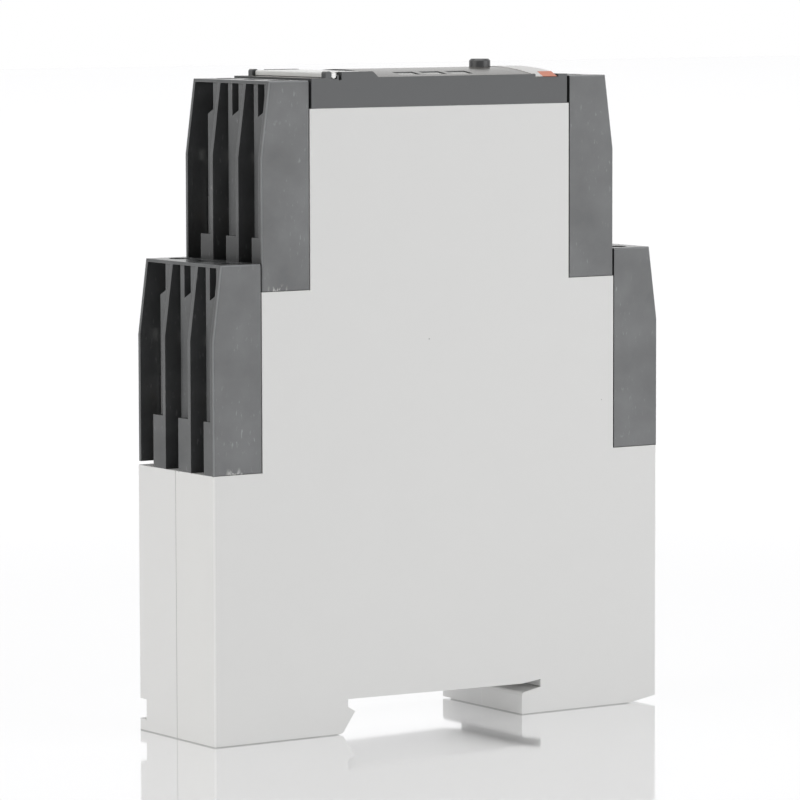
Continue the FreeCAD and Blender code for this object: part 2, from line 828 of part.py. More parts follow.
def controller_chip():
    """Return the controller chip on the main board."""
    half_x = chip_length / 2
    half_z = chip_width / 2
    high_y = board_face_y + chip_height
    return box((-half_x, board_face_y, chip_z - half_z), (half_x, high_y, chip_z + half_z))


def terminal_pieces():
    """Return the blocks, screws, cages and bars of all four terminal tiers, by node name."""
    pieces = {}
    for tier in tier_inset:
        for end in end_sign:
            place = f"{tier}_{end}"
            pieces[f"terminal_block_{place}"] = terminal_block(tier, end)
            bars = [contact_bar(tier, end, cell) for cell in range(cell_count)]
            pieces[f"contact_bars_{place}"] = Part.makeCompound(bars)
            for cell in range(cell_count):
                pieces[f"clamp_screw_{place}_{cell + 1}"] = clamp_screw(tier, end, cell)
                pieces[f"lift_cage_{place}_{cell + 1}"] = lift_cage(tier, end, cell)
    return pieces


def front_pieces():
    """Return the pieces of the front face, by node name."""
    pieces = {
        "front_cover": front_cover(),
        "marker_flap": marker_flap(),
        "setting_switch_body": setting_body(),
        "push_button": push_button(),
        "tact_switch_body": tact_body(),
        "tact_plunger": tact_plunger(),
        "status_windows": status_windows(),
        "status_lights": status_lights(),
        "front_board": front_board(),
    }
    for number, y in enumerate(setting_places(), start=1):
        pieces[f"setting_slider_{number}"] = setting_slider(y)
    return pieces


def inner_pieces():
    """Return the main board and what it carries, by node name."""
    return {
        "main_board": main_board(),
        "output_relay_1": output_relay(0),
        "output_relay_2": output_relay(1),
        "transformer": transformer(),
        "capacitor_1": capacitor(0),
        "capacitor_2": capacitor(1),
        "controller_chip": controller_chip(),
    }


def main():
    """Build every piece and write one file for each."""
    pieces = {"housing_shell_near": half_shell(-1), "housing_shell_far": half_shell(1)}
    pieces.update(terminal_pieces())
    pieces.update(front_pieces())
    pieces.update(inner_pieces())
    os.makedirs("parts", exist_ok=True)
    for name, shape in pieces.items():
        shape.exportStep(f"parts/{name}.step")


main()
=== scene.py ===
"""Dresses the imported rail-mounted relay with its finishes and small pieces, and sets up the studio.

Everything is in metres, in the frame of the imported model: +Z up towards the front face, X along the
housing's height, Y across its width, with the rail side on the floor.
"""

import logging
import math
from dataclasses import dataclass
from enum import Enum
from typing import Any, Callable, Mapping, Optional, Sequence, Union

import bpy
from mathutils import Matrix, Vector


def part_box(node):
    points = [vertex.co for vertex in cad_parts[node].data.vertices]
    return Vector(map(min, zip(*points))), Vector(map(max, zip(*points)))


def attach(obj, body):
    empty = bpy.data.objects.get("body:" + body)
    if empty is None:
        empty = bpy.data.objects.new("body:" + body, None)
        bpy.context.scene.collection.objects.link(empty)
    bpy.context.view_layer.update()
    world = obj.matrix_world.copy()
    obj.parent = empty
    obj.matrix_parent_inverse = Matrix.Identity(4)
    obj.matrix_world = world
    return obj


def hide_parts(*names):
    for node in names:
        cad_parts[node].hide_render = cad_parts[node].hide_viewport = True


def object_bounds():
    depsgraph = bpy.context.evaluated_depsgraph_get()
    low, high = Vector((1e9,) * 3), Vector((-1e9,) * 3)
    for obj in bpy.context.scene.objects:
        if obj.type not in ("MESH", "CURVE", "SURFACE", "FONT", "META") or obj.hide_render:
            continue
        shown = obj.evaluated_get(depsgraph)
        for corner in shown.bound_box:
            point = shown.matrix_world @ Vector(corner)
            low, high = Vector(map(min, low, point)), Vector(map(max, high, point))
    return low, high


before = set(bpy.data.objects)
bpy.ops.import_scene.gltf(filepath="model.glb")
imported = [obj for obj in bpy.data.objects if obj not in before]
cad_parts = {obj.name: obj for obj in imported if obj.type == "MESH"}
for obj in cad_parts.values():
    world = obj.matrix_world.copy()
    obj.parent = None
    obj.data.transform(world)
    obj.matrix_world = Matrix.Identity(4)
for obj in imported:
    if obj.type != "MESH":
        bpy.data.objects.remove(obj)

LOG = logging.getLogger("relay_scene")
MM = 0.001
SQUARE_ON = 0.9
CAD_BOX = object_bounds()
Colour = tuple[float, float, float]
Number = Union[float, "Value"]


class Tier(Enum):
    """The two storeys of terminal blocks."""

    LOWER = "lower"
    UPPER = "upper"


class End(Enum):
    """The two ends of the housing that carry terminal blocks."""

    LEFT = "left"
    RIGHT = "right"


class Value:
    """A shader socket that takes part in Python arithmetic, adding Math nodes as it goes."""

    def __init__(self, shader: "Shader", socket: bpy.types.NodeSocket) -> None:
        """Keep the shader that owns the socket, and the socket."""
        self.shader = shader
        self.socket = socket

    def _math(self, operation: str, *terms: Number) -> "Value":
        """Add one Math node.

        Args:
            operation: The node's operation.
            terms: The values of its inputs, in order.

        Returns:
            The node's result.
        """
        return self.shader.value("ShaderNodeMath", {"operation": operation}, dict(enumerate(terms)))

    def __add__(self, other: Number) -> "Value":
        """Return self + other."""
        return self._math("ADD", self, other)

    def __radd__(self, other: Number) -> "Value":
        """Return other + self."""
        return self._math("ADD", other, self)

    def __sub__(self, other: Number) -> "Value":
        """Return self - other."""
        return self._math("SUBTRACT", self, other)

    def __rsub__(self, other: Number) -> "Value":
        """Return other - self."""
        return self._math("SUBTRACT", other, self)

    def __mul__(self, other: Number) -> "Value":
        """Return self * other."""
        return self._math("MULTIPLY", self, other)

    def __rmul__(self, other: Number) -> "Value":
        """Return other * self."""
        return self._math("MULTIPLY", other, self)

    def __abs__(self) -> "Value":
        """Return the size of self without its sign."""
        return self._math("ABSOLUTE", self)

    def at_least(self, other: Number) -> "Value":
        """Return the larger of self and other."""
        return self._math("MAXIMUM", self, other)

    def above(self, edge: float, blur: float) -> "Value":
        """Make a mask that rises from 0 to 1 across an edge.

        Args:
            edge: The value at which the mask is half way up.
            blur: How far from the edge the mask is still changing.

        Returns:
            The mask.
        """
        settings = {"clamp": True, "interpolation_type": "SMOOTHSTEP"}
        inputs = {"Value": self, "From Min": edge - blur, "From Max": edge + blur}
        return self.shader.value("ShaderNodeMapRange", settings, inputs)


class Shader:
    """A node tree and the one way in which its nodes are made."""

    MIX_BASE: int = 6
    MIX_OTHER: int = 7
    MIX_RESULT: int = 2
    EDGE_SAMPLES: int = 6
    EDGE_LEAN: float = 0.08
    FACING_MIDDLE: float = 0.7
    FACING_BLUR: float = 0.2
    OPEN_SAMPLES: int = 8
    OPEN_MIDDLE: float = 0.9
    OPEN_BLUR: float = 0.1

    def __init__(self, tree: bpy.types.NodeTree) -> None:
        """Take over a node tree and empty it."""
        self.tree = tree
        tree.nodes.clear()

    def node(
        self,
        kind: str,
        settings: Optional[Mapping[str, Any]] = None,
        inputs: Optional[Mapping[Union[str, int], Any]] = None,
    ) -> bpy.types.Node:
        """Add one node.

        Args:
            kind: The node's type.
            settings: Properties of the node, set before its sockets.
            inputs: Values or links of its sockets, by name or number.

        Returns:
            The new node.
        """
        made = self.tree.nodes.new(kind)
        for key, setting in (settings or {}).items():
            setattr(made, key, setting)
        for key, item in (inputs or {}).items():
            if isinstance(item, Value):
                self.tree.links.new(item.socket, made.inputs[key])
            else:
                made.inputs[key].default_value = item
        return made

    def value(
        self,
        kind: str,
        settings: Optional[Mapping[str, Any]] = None,
        inputs: Optional[Mapping[Union[str, int], Any]] = None,
        output: Union[str, int] = 0,
    ) -> Value:
        """Add one node and return one of its outputs.

        Args:
            kind: The node's type.
            settings: Properties of the node, set before its sockets.
            inputs: Values or links of its sockets, by name or number.
            output: The output to return, by name or number.

        Returns:
            The output, ready for arithmetic.
        """
        return Value(self, self.node(kind, settings, inputs).outputs[output])

    def place(self) -> Value:
        """Return the object coordinates, which are the frame's own."""
        return self.value("ShaderNodeTexCoord", output="Object")

    def axis(self, letter: str) -> Value:
        """Return one object coordinate, in metres."""
        return self.value("ShaderNodeSeparateXYZ", None, {0: self.place()}, letter)

    def noise(self, size: float, detail: float = 2.0, stretch: Sequence[float] = (1, 1, 1)) -> Value:
        """Make a cloudy pattern.

        Args:
            size: The width of its clouds, in metres.
            detail: How many finer layers it has.
            stretch: How much denser the pattern is along each axis.

        Returns:
            The pattern, round about 0.5.
        """
        terms = {0: self.place(), 1: stretch}
        spread = self.value("ShaderNodeVectorMath", {"operation": "MULTIPLY"}, terms)
        inputs = {"Vector": spread, "Scale": 1 / size, "Detail": detail}
        return self.value("ShaderNodeTexNoise", None, inputs)

    def specks(self, spacing: float, radius: float) -> Value:
        """Make a mask of scattered dots.

        Args:
            spacing: The distance between dots, in metres.
            radius: The radius of a dot, in metres.

        Returns:
            The mask, 1 inside a dot.
        """
        inputs = {"Vector": self.place(), "Scale": 1 / spacing}
        cells = self.value("ShaderNodeTexVoronoi", None, inputs)
        share = radius / spacing
        return 1 - cells.above(share, share / 2)

    def tinted(self, colour: Colour, tone: Number) -> Value:
        """Return a colour made lighter or darker by a tone round about 1."""
        return self.value("ShaderNodeVectorMath", {"operation": "SCALE"}, {0: colour, "Scale": tone})

    def mixed(self, base: Any, other: Any, mask: Value) -> Value:
        """Return a base colour that gives way to another where a mask is 1."""
        sockets = {0: mask, self.MIX_BASE: base, self.MIX_OTHER: other}
        return self.value("ShaderNodeMix", {"data_type": "RGBA"}, sockets, self.MIX_RESULT)

    def soft_edges(self, radius: float) -> Value:
        """Return the surface normal, with the edges of the mesh rounded to a radius."""
        return self.value("ShaderNodeBevel", {"samples": self.EDGE_SAMPLES}, {"Radius": radius})

    def edge_mask(self, rounded: Value) -> Value:
        """Make a mask of where a rounded normal leans away from all three axes, as it does on edges."""
        parts = self.node("ShaderNodeSeparateXYZ", None, {0: rounded})
        steepest = abs(Value(self, parts.outputs["X"]))
        for letter in ("Y", "Z"):
            steepest = steepest.at_least(abs(Value(self, parts.outputs[letter])))
        return (1 - steepest).above(self.EDGE_LEAN, self.EDGE_LEAN)

    def lean(self, letter: str) -> Value:
        """Return one component of the surface normal."""
        facing = self.value("ShaderNodeNewGeometry", output="Normal")
        return self.value("ShaderNodeSeparateXYZ", None, {0: facing}, letter)

    def upward(self) -> Value:
        """Make a mask of the faces that look upwards."""
        return self.lean("Z").above(self.FACING_MIDDLE, self.FACING_BLUR)

    def endward(self) -> Value:
        """Make a mask of the faces that look along X, to either end of the part."""
        return abs(self.lean("X")).above(self.FACING_MIDDLE, self.FACING_BLUR)

    def open_share(self, reach: float) -> Value:
        """Make a mask of how open the surface lies, low at the bottom of slots and corners.

        Args:
            reach: How far round about the surface other walls count, in metres.

        Returns:
            The mask, 1 on open faces.
        """
        settings = {"samples": self.OPEN_SAMPLES}
        shade = self.value("ShaderNodeAmbientOcclusion", settings, {"Distance": reach}, "AO")
        return shade.above(self.OPEN_MIDDLE, self.OPEN_BLUR)

    def bump(self, height: Value, depth: float, normal: Value) -> Value:
        """Return a normal that shows a height pattern of the given depth, in metres."""
        inputs = {"Strength": 1.0, "Distance": depth, "Height": height, "Normal": normal}
        return self.value("ShaderNodeBump", None, inputs)

    def white_when_seen(self, otherwise: float, share: Number = 1.0) -> Value:
        """Make a strength that is white where it is seen, straight on or in a reflection.

        Args:
            otherwise: The strength with which it lights the part.
            share: How much of the way to white it goes.

        Returns:
            The strength.
        """
        path = self.node("ShaderNodeLightPath")
        seen = Value(self, path.outputs["Is Camera Ray"])
        for ray in ("Is Glossy Ray", "Is Transmission Ray"):
            seen = seen.at_least(Value(self, path.outputs[ray]))
        return seen * share * (1 - otherwise) + otherwise

    def surface(self, inputs: Mapping[str, Any]) -> None:
        """Close the tree with a Principled surface.

        Args:
            inputs: Values or links of the Principled shader's sockets.
        """
        shade = self.value("ShaderNodeBsdfPrincipled", None, inputs)
        self.node("ShaderNodeOutputMaterial", None, {"Surface": shade})


@dataclass(frozen=True)
class Finish:
    """A named finish, whose material is made on first use."""

    name: str

    def material(self) -> bpy.types.Material:
        """Return the finish's material, whose name is apart from those of the frame's slots."""
        name = f"{self.name}_finish"
        found = bpy.data.materials.get(name)
        if found is None:
            found = bpy.data.materials.new(name)
            found.use_nodes = True
            self.paint(Shader(found.node_tree))
        return found

    def paint(self, shader: Shader) -> None:
        """Fill the material's node tree.

        Args:
            shader: The material's empty tree.
        """
        raise NotImplementedError


@dataclass(frozen=True)
class MouldedPlastic(Finish):
    """Moulded plastic with a fine eroded grain, faint clouds, softened edges with a painted highlight,
    and painted shade in recesses and on end faces where asked.
    """

    colour: Colour
    roughness: float
    grain_size: float = 0.16 * MM
    grain_depth: float = 0.004 * MM
    grain_detail: float = 2.0
    cloud_size: float = 9 * MM
    cloud_detail: float = 4.0
    cloud_share: float = 0.05
    cloud_gloss: float = 0.12
    edge_radius: float = 0.12 * MM
    # painted highlight: how much the base colour is lightened along edges
    painted_edge_highlight: float = 0.08
    speck_spacing: float = 17 * MM
    speck_radius: float = 0.11 * MM
    speck_tone: float = 1.0
    scuff_size: float = 1.3 * MM
    scuff_stretch: tuple[float, float, float] = (1.0, 1.0, 0.3)
    scuff_middle: float = 0.66
    scuff_blur: float = 0.05
    scuff_fade: float = 0.08
    scuff_light: float = 0.0
    # painted shade: how far ambient occlusion reaches, and how dark the base colour gets at the bottom
    # of slots, corners and seams
    recess_shade_reach: float = 0.0
    painted_recess_shade: float = 0.42
    # painted shade: how dark the base colour gets on faces that look along X
    painted_end_shade: float = 1.0
    specular: float = 0.5
    rub_height: Optional[float] = None
    rub_reach: float = 1.3 * MM
    rub_middle: float = 0.0
    rub_half_length: float = 1.6 * MM
    rub_end_blur: float = 0.4 * MM
    rub_colour: Colour = (0.5, 0.5, 0.49)
    rub_strength: float = 0.8
    rub_streak_size: float = 0.7 * MM
    rub_streak_stretch: tuple[float, float, float] = (1.0, 1.0, 0.6)
    rub_streak_middle: float = 0.56
    rub_streak_blur: float = 0.06
    top_colour: Optional[Colour] = None

    def paint(self, shader: Shader) -> None:
        """Fill the tree with grain, clouds, painted edge highlights, scuffs, specks, painted shade and
        rub marks.

        Args:
            shader: The material's empty tree.
        """
        rounded = shader.soft_edges(self.edge_radius)
        clouds = shader.noise(self.cloud_size, self.cloud_detail) - 0.5
        edges = shader.edge_mask(rounded)
        # painted highlight: the base colour is lightened where the rounded normal leans, along the
        # mesh's edges
        tone = 1 + clouds * (2 * self.cloud_share) + edges * self.painted_edge_highlight
        if self.scuff_light > 0:
            streaks = shader.noise(self.scuff_size, self.cloud_detail, self.scuff_stretch)
            scuffs = streaks.above(self.scuff_middle, self.scuff_blur)
            tone = tone + scuffs * clouds.above(0.0, self.scuff_fade) * self.scuff_light
        if self.speck_tone != 1:
            dots = shader.specks(self.speck_spacing, self.speck_radius)
            tone = tone * (1 - dots * (1 - self.speck_tone))
        # painted shade: the base colour is darkened by ambient occlusion in slots, corners and seams
        if self.recess_shade_reach > 0:
            openness = shader.open_share(self.recess_shade_reach)
            tone = tone * (self.painted_recess_shade + openness * (1 - self.painted_recess_shade))
        # painted shade: the base colour is darker on faces that look along X
        if self.painted_end_shade != 1:
            tone = tone * (1 - shader.endward() * (1 - self.painted_end_shade))
        colour = shader.tinted(self.colour, tone)
        if self.top_colour is not None:
            colour = shader.mixed(colour, shader.tinted(self.top_colour, tone), shader.upward())
        if self.rub_height is not None:
            colour = shader.mixed(colour, (*self.rub_colour, 1.0), self.rub_mask(shader))
        grain = shader.noise(self.grain_size, self.grain_detail)
        shader.surface(
            {
                "Base Color": colour,
                "Roughness": self.roughness + clouds * self.cloud_gloss,
                "Specular IOR Level": self.specular,
                "Normal": shader.bump(grain, self.grain_depth, rounded),
            }
        )

    def rub_mask(self, shader: Shader) -> Value:
        """Make the broken light rub marks that lie just above a moulding's foot.

        Args:
            shader: The material's tree.

        Returns:
            The mask, 1 where the surface is rubbed.
        """
        rise = shader.axis("Z") - self.rub_height
        low = 1 - rise.above(self.rub_reach / 2, self.rub_reach / 2)
        aside = abs(shader.axis("X") - self.rub_middle)
        near = 1 - aside.above(self.rub_half_length, self.rub_end_blur)
        pattern = shader.noise(self.rub_streak_size, self.grain_detail, self.rub_streak_stretch)
        streaks = pattern.above(self.rub_streak_middle, self.rub_streak_blur)
        return low * near * streaks * self.rub_strength


@dataclass(frozen=True)
class PlatedMetal(Finish):
    """Plated sheet or turned metal with fine drawn streaks and slight tarnish."""

    colour: Colour
    roughness: float
    streak: tuple[float, float, float] = (1.0, 1.0, 6.0)
    streak_size: float = 0.5 * MM
    streak_depth: float = 0.003 * MM
    streak_gloss: float = 0.2
    tarnish: float = 0.12
    tarnish_size: float = 3 * MM
    detail: float = 3.0
    edge_radius: float = 0.06 * MM

    def paint(self, shader: Shader) -> None:
        """Fill the tree with streaks and tarnish.

        Args:
            shader: The material's empty tree.
        """
        rounded = shader.soft_edges(self.edge_radius)
        drawn = shader.noise(self.streak_size, self.detail, self.streak)
        cloud = shader.noise(self.tarnish_size, self.detail)
        shader.surface(
            {
                "Base Color": shader.tinted(self.colour, 1 - cloud * self.tarnish),
                "Metallic": 1.0,
                "Roughness": self.roughness + (drawn - 0.5) * self.streak_gloss,
                "Normal": shader.bump(drawn, self.streak_depth, rounded),
            }
        )


@dataclass(frozen=True)
class BoardLaminate(Finish):
    """Green board laminate with a faint glass weave under its mask."""

    colour: Colour
    weave: float = 0.5 * MM
    weave_turns: float = 0.05
    weave_wander: float = 0.4
    thread_tone: float = 0.15
    thread_depth: float = 0.004 * MM
    cloud_size: float = 12 * MM
    cloud_tone: float = 0.25
    cloud_gloss: float = 0.15
    lowest_tone: float = 0.8
    roughness: float = 0.3

    def paint(self, shader: Shader) -> None:
        """Fill the tree with weave and clouds.

        Args:
            shader: The material's empty tree.
        """
        warp = shader.value("ShaderNodeTexWave", {"bands_direction": "X"}, self.wave_inputs(shader))
        weft = shader.value("ShaderNodeTexWave", {"bands_direction": "Z"}, self.wave_inputs(shader))
        threads = (warp + weft) * 0.5
        cloud = shader.noise(self.cloud_size)
        tone = self.lowest_tone + threads * self.thread_tone + cloud * self.cloud_tone
        flat = shader.value("ShaderNodeNewGeometry", output="Normal")
        shader.surface(
            {
                "Base Color": shader.tinted(self.colour, tone),
                "Roughness": self.roughness + cloud * self.cloud_gloss,
                "Normal": shader.bump(threads, self.thread_depth, flat),
            }
        )

    def wave_inputs(self, shader: Shader) -> dict[str, Any]:
        """Return the sockets of one thread direction."""
        return {
            "Vector": shader.place(),
            "Scale": self.weave_turns / self.weave,
            "Distortion": self.weave_wander,
            "Detail": 1.0,
        }


@dataclass(frozen=True)
class LampLens(Finish):
    """Milky window plastic with a clear glossy skin."""

    colour: Colour
    roughness: float = 0.22
    milk_size: float = 1.8 * MM
    milk_detail: float = 3.0
    milk_tone: float = 0.16
    milk_gloss: float = 0.08
    ripple_size: float = 0.9 * MM
    ripple_depth: float = 0.003 * MM
    coat: float = 0.4
    coat_roughness: float = 0.05
    edge_radius: float = 0.1 * MM

    def paint(self, shader: Shader) -> None:
        """Fill the tree with milky clouds under a coat.

        Args:
            shader: The material's empty tree.
        """
        rounded = shader.soft_edges(self.edge_radius)
        milk = shader.noise(self.milk_size, self.milk_detail)
        ripple = shader.noise(self.ripple_size, 1.0)
        tone = 1 - self.milk_tone / 2 + milk * self.milk_tone
        shader.surface(
            {
                "Base Color": shader.tinted(self.colour, tone),
                "Roughness": self.roughness + milk * self.milk_gloss,
                "Coat Weight": self.coat,
                "Coat Roughness": self.coat_roughness,
                "Normal": shader.bump(ripple, self.ripple_depth, rounded),
            }
        )


@dataclass(frozen=True)
class PrintFilm(Finish):
    """Printed label film: even ink with a little mottle and a fine satin skin."""

    colour: Colour
    roughness: float = 0.38
    ink_size: float = 0.4 * MM
    ink_detail: float = 3.0
    ink_tone: float = 0.08
    ripple_size: float = 2.5 * MM
    ripple_depth: float = 0.004 * MM
    ripple_gloss: float = 0.06

    def paint(self, shader: Shader) -> None:
        """Fill the tree with ink mottle and film ripple.

        Args:
            shader: The material's empty tree.
        """
        ink = shader.noise(self.ink_size, self.ink_detail)
        ripple = shader.noise(self.ripple_size, 1.0)
        tone = 1 - self.ink_tone / 2 + ink * self.ink_tone
        flat = shader.value("ShaderNodeNewGeometry", output="Normal")
        shader.surface(
            {
                "Base Color": shader.tinted(self.colour, tone),
                "Roughness": self.roughness + ripple * self.ripple_gloss,
                "Normal": shader.bump(ripple, self.ripple_depth, flat),
            }
        )


class Bench:
    """Mesh work with Blender's own operators, one piece at a time."""

    @staticmethod
    def clear() -> None:
        """Leave edit mode and deselect everything."""
        if bpy.context.object and bpy.context.object.mode != "OBJECT":
            bpy.ops.object.mode_set(mode="OBJECT")
        bpy.ops.object.select_all(action="DESELECT")

    @staticmethod
    def pick(piece: bpy.types.Object, test: Callable[[Vector, Vector], bool]) -> None:
        """Enter edit mode with the faces selected that pass a test.

        Args:
            piece: The active piece.
            test: Told a face's centre and normal, says whether it is selected.
        """
        bpy.ops.object.mode_set(mode="EDIT")
        bpy.ops.mesh.select_mode(type="FACE")
        bpy.ops.mesh.select_all(action="DESELECT")
        bpy.ops.object.mode_set(mode="OBJECT")
        for face in piece.data.polygons:
            face.select = test(face.center, face.normal)
        bpy.ops.object.mode_set(mode="EDIT")

    @staticmethod
    def modify(piece: bpy.types.Object, kind: str, settings: Mapping[str, Any]) -> None:
        """Add one modifier to a piece and apply it.

        Args:
            piece: The piece.
            kind: The modifier's type.
            settings: Its properties.
        """
        modifier = piece.modifiers.new(kind.lower(), kind)
        for key, setting in settings.items():
            setattr(modifier, key, setting)
        bpy.context.view_layer.objects.active = piece
        bpy.ops.object.modifier_apply(modifier=modifier.name)

    @staticmethod
    def settle(piece: bpy.types.Object) -> None:
        """Put a piece's place into its mesh, with its normals outwards."""
        Bench.clear()
        piece.select_set(True)
        bpy.context.view_layer.objects.active = piece
        bpy.ops.object.transform_apply(location=True, rotation=True, scale=True)
        bpy.ops.object.mode_set(mode="EDIT")
        bpy.ops.mesh.select_all(action="SELECT")
        bpy.ops.mesh.normals_make_consistent(inside=False)
        bpy.ops.object.mode_set(mode="OBJECT")

    @staticmethod
    def join(main: bpy.types.Object, others: Sequence[bpy.types.Object]) -> None:
        """Join other pieces into a main one."""
        Bench.clear()
        for other in others:
            other.select_set(True)
        main.select_set(True)
        bpy.context.view_layer.objects.active = main
        bpy.ops.object.join()

    @staticmethod
    def finish(piece: bpy.types.Object, name: str, body: str, slot: str, finish: Finish) -> None:
        """Name a piece, give it its material and let it ride on a body.

        Args:
            piece: The finished piece, at the origin.
            name: Its name.
            body: The body that it moves with.
            slot: The record's material slot; not used.
            finish: Its finish.
        """
        piece.name = name
        piece.data.name = name
        piece.data.materials.clear()
        piece.data.materials.append(finish.material())
        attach(piece, body)
        LOG.info("piece %s rides on %s, %d faces", name, body, len(piece.data.polygons))


def dress(nodes: Sequence[str], finish: Finish) -> None:
    """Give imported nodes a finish.

    Args:
        nodes: The nodes' names.
        finish: Their finish.
    """
    for name in nodes:
        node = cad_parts[name]
        node.data.materials.clear()
        node.data.materials.append(finish.material())
        LOG.info("node %s has %s", name, finish.name)


@dataclass
class HousingShells:
    """The two light-grey half shells of the housing."""

    near_colour: Colour = (0.70, 0.70, 0.692)
    far_colour: Colour = (0.70, 0.70, 0.696)
    roughness: float = 0.5
    cloud_share: float = 0.012
    # painted highlight along the shells' edges
    painted_edge_highlight: float = 0.18
    speck_tone: float = 0.45
    # painted shade in the seam: ambient occlusion darkens the base colour in the groove
    seam_shade_reach: float = 0.2 * MM
    painted_seam_shade: float = 0.55

    def dress(self) -> None:
        """Give each half shell its own batch of the same plastic."""
        for side, colour in (("near", self.near_colour), ("far", self.far_colour)):
            plastic = MouldedPlastic(
                f"housing_plastic_{side}",
                colour,
                roughness=self.roughness,
                cloud_share=self.cloud_share,
                painted_edge_highlight=self.painted_edge_highlight,
                speck_tone=self.speck_tone,
                recess_shade_reach=self.seam_shade_reach,
                painted_recess_shade=self.painted_seam_shade,
            )
            dress([f"housing_shell_{side}"], plastic)


@dataclass
class TerminalTiers:
    """The terminal blocks of both storeys with their clamp screws, cages and contact bars."""

    cells: int = 3
    block_colour: Colour = (0.134, 0.138, 0.141)
    bar_colour: Colour = (0.48, 0.345, 0.16)
    bar_roughness: float = 0.34
    cage_colour: Colour = (0.4, 0.4, 0.39)
    cage_roughness: float = 0.42
    screw_colour: Colour = (0.44, 0.44, 0.43)
    screw_roughness: float = 0.34
    lower_rub_x: float = -38.7 * MM
    upper_rub_x: float = -30.9 * MM
    screw_head_radius: float = 2.1 * MM
    screw_head_height: float = 1.8 * MM
    screw_head_sides: int = 48
    screw_rim: float = 0.25 * MM
    screw_rim_steps: int = 3
    shank_radius: float = 1.5 * MM
    shank_sides: int = 28
    thread_pitch: float = 0.5 * MM
    thread_depth: float = 0.28 * MM
    thread_share: float = 0.48
    thread_steps: int = 24
    ridge_sides: int = 4
    slot_width: float = 0.7 * MM
    slot_length: float = 2.9 * MM
    slot_depth: float = 1.0 * MM
    point_bevel: float = 0.35 * MM
    point_steps: int = 2
    smooth_angle: float = math.radians(35)

    def places(self) -> list[str]:
        """Return the tags of the four blocks."""
        return [f"{tier.value}_{end.value}" for tier in Tier for end in End]

    def tags(self) -> list[str]:
        """Return the tags of all the cells."""
        return [f"{place}_{cell + 1}" for place in self.places() for cell in range(self.cells)]

    def dress(self) -> None:
        """Give the blocks, bars and cages their finishes."""
        rub_middles = {Tier.LOWER: self.lower_rub_x, Tier.UPPER: self.upper_rub_x}
        for tier in Tier:
            blocks = [f"terminal_block_{tier.value}_{end.value}" for end in End]
            plastic = MouldedPlastic(
                f"terminal_plastic_{tier.value}",
                self.block_colour,
                roughness=0.24,
                grain_depth=0.0015 * MM,
                cloud_size=7 * MM,
                cloud_share=0.4,
                scuff_size=0.45 * MM,
                scuff_light=0.55,
                speck_spacing=7 * MM,
                speck_radius=0.09 * MM,
                speck_tone=1.7,
                edge_radius=0.1 * MM,
                # painted highlight along the blocks' edges
                painted_edge_highlight=1.0,
                # painted shade: ambient occlusion darkens the base colour deep in the channels and
                # recesses
                recess_shade_reach=7 * MM,
                painted_recess_shade=0.52,
                # painted shade on the blocks' faces that look along X
                painted_end_shade=0.74,
                specular=0.3,
                rub_height=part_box(blocks[0])[0].z,
                rub_middle=rub_middles[tier],
            )
            dress(blocks, plastic)
        brass = PlatedMetal("bar_brass", self.bar_colour, self.bar_roughness)
        dress([f"contact_bars_{place}" for place in self.places()], brass)
        steel = PlatedMetal("cage_steel", self.cage_colour, self.cage_roughness)
        dress([f"lift_cage_{tag}" for tag in self.tags()], steel)

    def model_screw(self) -> bpy.types.Object:
        """Model one clamp screw about the origin, its head's top face at height 0.

        Returns:
            The screw, with a threaded shank and a cross-slotted head.
        """
        low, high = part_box(f"clamp_screw_{self.tags()[0]}")
        length = high.z - low.z
        shank = length - self.screw_head_height
        head = self.model_head()
        Bench.clear()
        core_radius = self.shank_radius - self.thread_depth
        middle = -self.screw_head_height - shank / 2
        bpy.ops.mesh.primitive_cylinder_add(
            vertices=self.shank_sides, radius=core_radius, depth=shank, location=(0, 0, middle)
        )
        core = bpy.context.object
        Bench.pick(core, lambda centre, normal: normal.z < -SQUARE_ON)
        bpy.ops.mesh.bevel(offset=self.point_bevel, segments=self.point_steps)
        Bench.clear()
        thread = self.model_thread(shank, -length)
        Bench.join(head, [core, thread])
        Bench.settle(head)
        return head

    def model_head(self) -> bpy.types.Object:
        """Model the screw's head: a rounded cheese head with a cross slot.

        Returns:
            The head, its top face at height 0.
        """
        Bench.clear()
        middle = (0, 0, -self.screw_head_height / 2)
        bpy.ops.mesh.primitive_cylinder_add(
            vertices=self.screw_head_sides,
            radius=self.screw_head_radius,
            depth=self.screw_head_height,
            location=middle,
        )
        head = bpy.context.object
        bpy.ops.object.transform_apply(location=True)
        Bench.pick(head, lambda centre, normal: normal.z > SQUARE_ON)
        bpy.ops.mesh.bevel(offset=self.screw_rim, segments=self.screw_rim_steps)
        Bench.clear()
        for size in ((self.slot_length, self.slot_width), (self.slot_width, self.slot_length)):
            bpy.ops.mesh.primitive_cube_add(size=1)
            cutter = bpy.context.object
            cutter.scale = (*size, 2 * self.slot_depth)
            bpy.ops.object.transform_apply(scale=True)
            cut = {"operation": "DIFFERENCE", "object": cutter, "solver": "EXACT"}
            Bench.modify(head, "BOOLEAN", cut)
            bpy.data.objects.remove(cutter)
            Bench.clear()
        return head

    def model_thread(self, length: float, foot: float) -> bpy.types.Object:
        """Model the thread as a ridge that winds up the shank.

        Args:
            length: The length of the threaded shank.
            foot: The height of the shank's point.

        Returns:
            The ridge, about the Z axis.
        """
        Bench.clear()
        turns = int(length / self.thread_pitch) - 1
        ridge = self.thread_pitch * self.thread_share
        centre = (self.shank_radius - ridge, 0, foot + self.thread_pitch)
        upright = (math.pi / 2, 0, 0)
        bpy.ops.mesh.primitive_circle_add(
            vertices=self.ridge_sides, radius=ridge, location=centre, rotation=upright
        )
        thread = bpy.context.object
        bpy.ops.object.transform_apply(location=True, rotation=True)
        winding = {
            "axis": "Z",
            "angle": 2 * math.pi,
            "screw_offset": self.thread_pitch,
            "iterations": turns,
            "steps": self.thread_steps,
            "render_steps": self.thread_steps,
            "use_merge_vertices": False,
        }
        Bench.modify(thread, "SCREW", winding)
        return thread

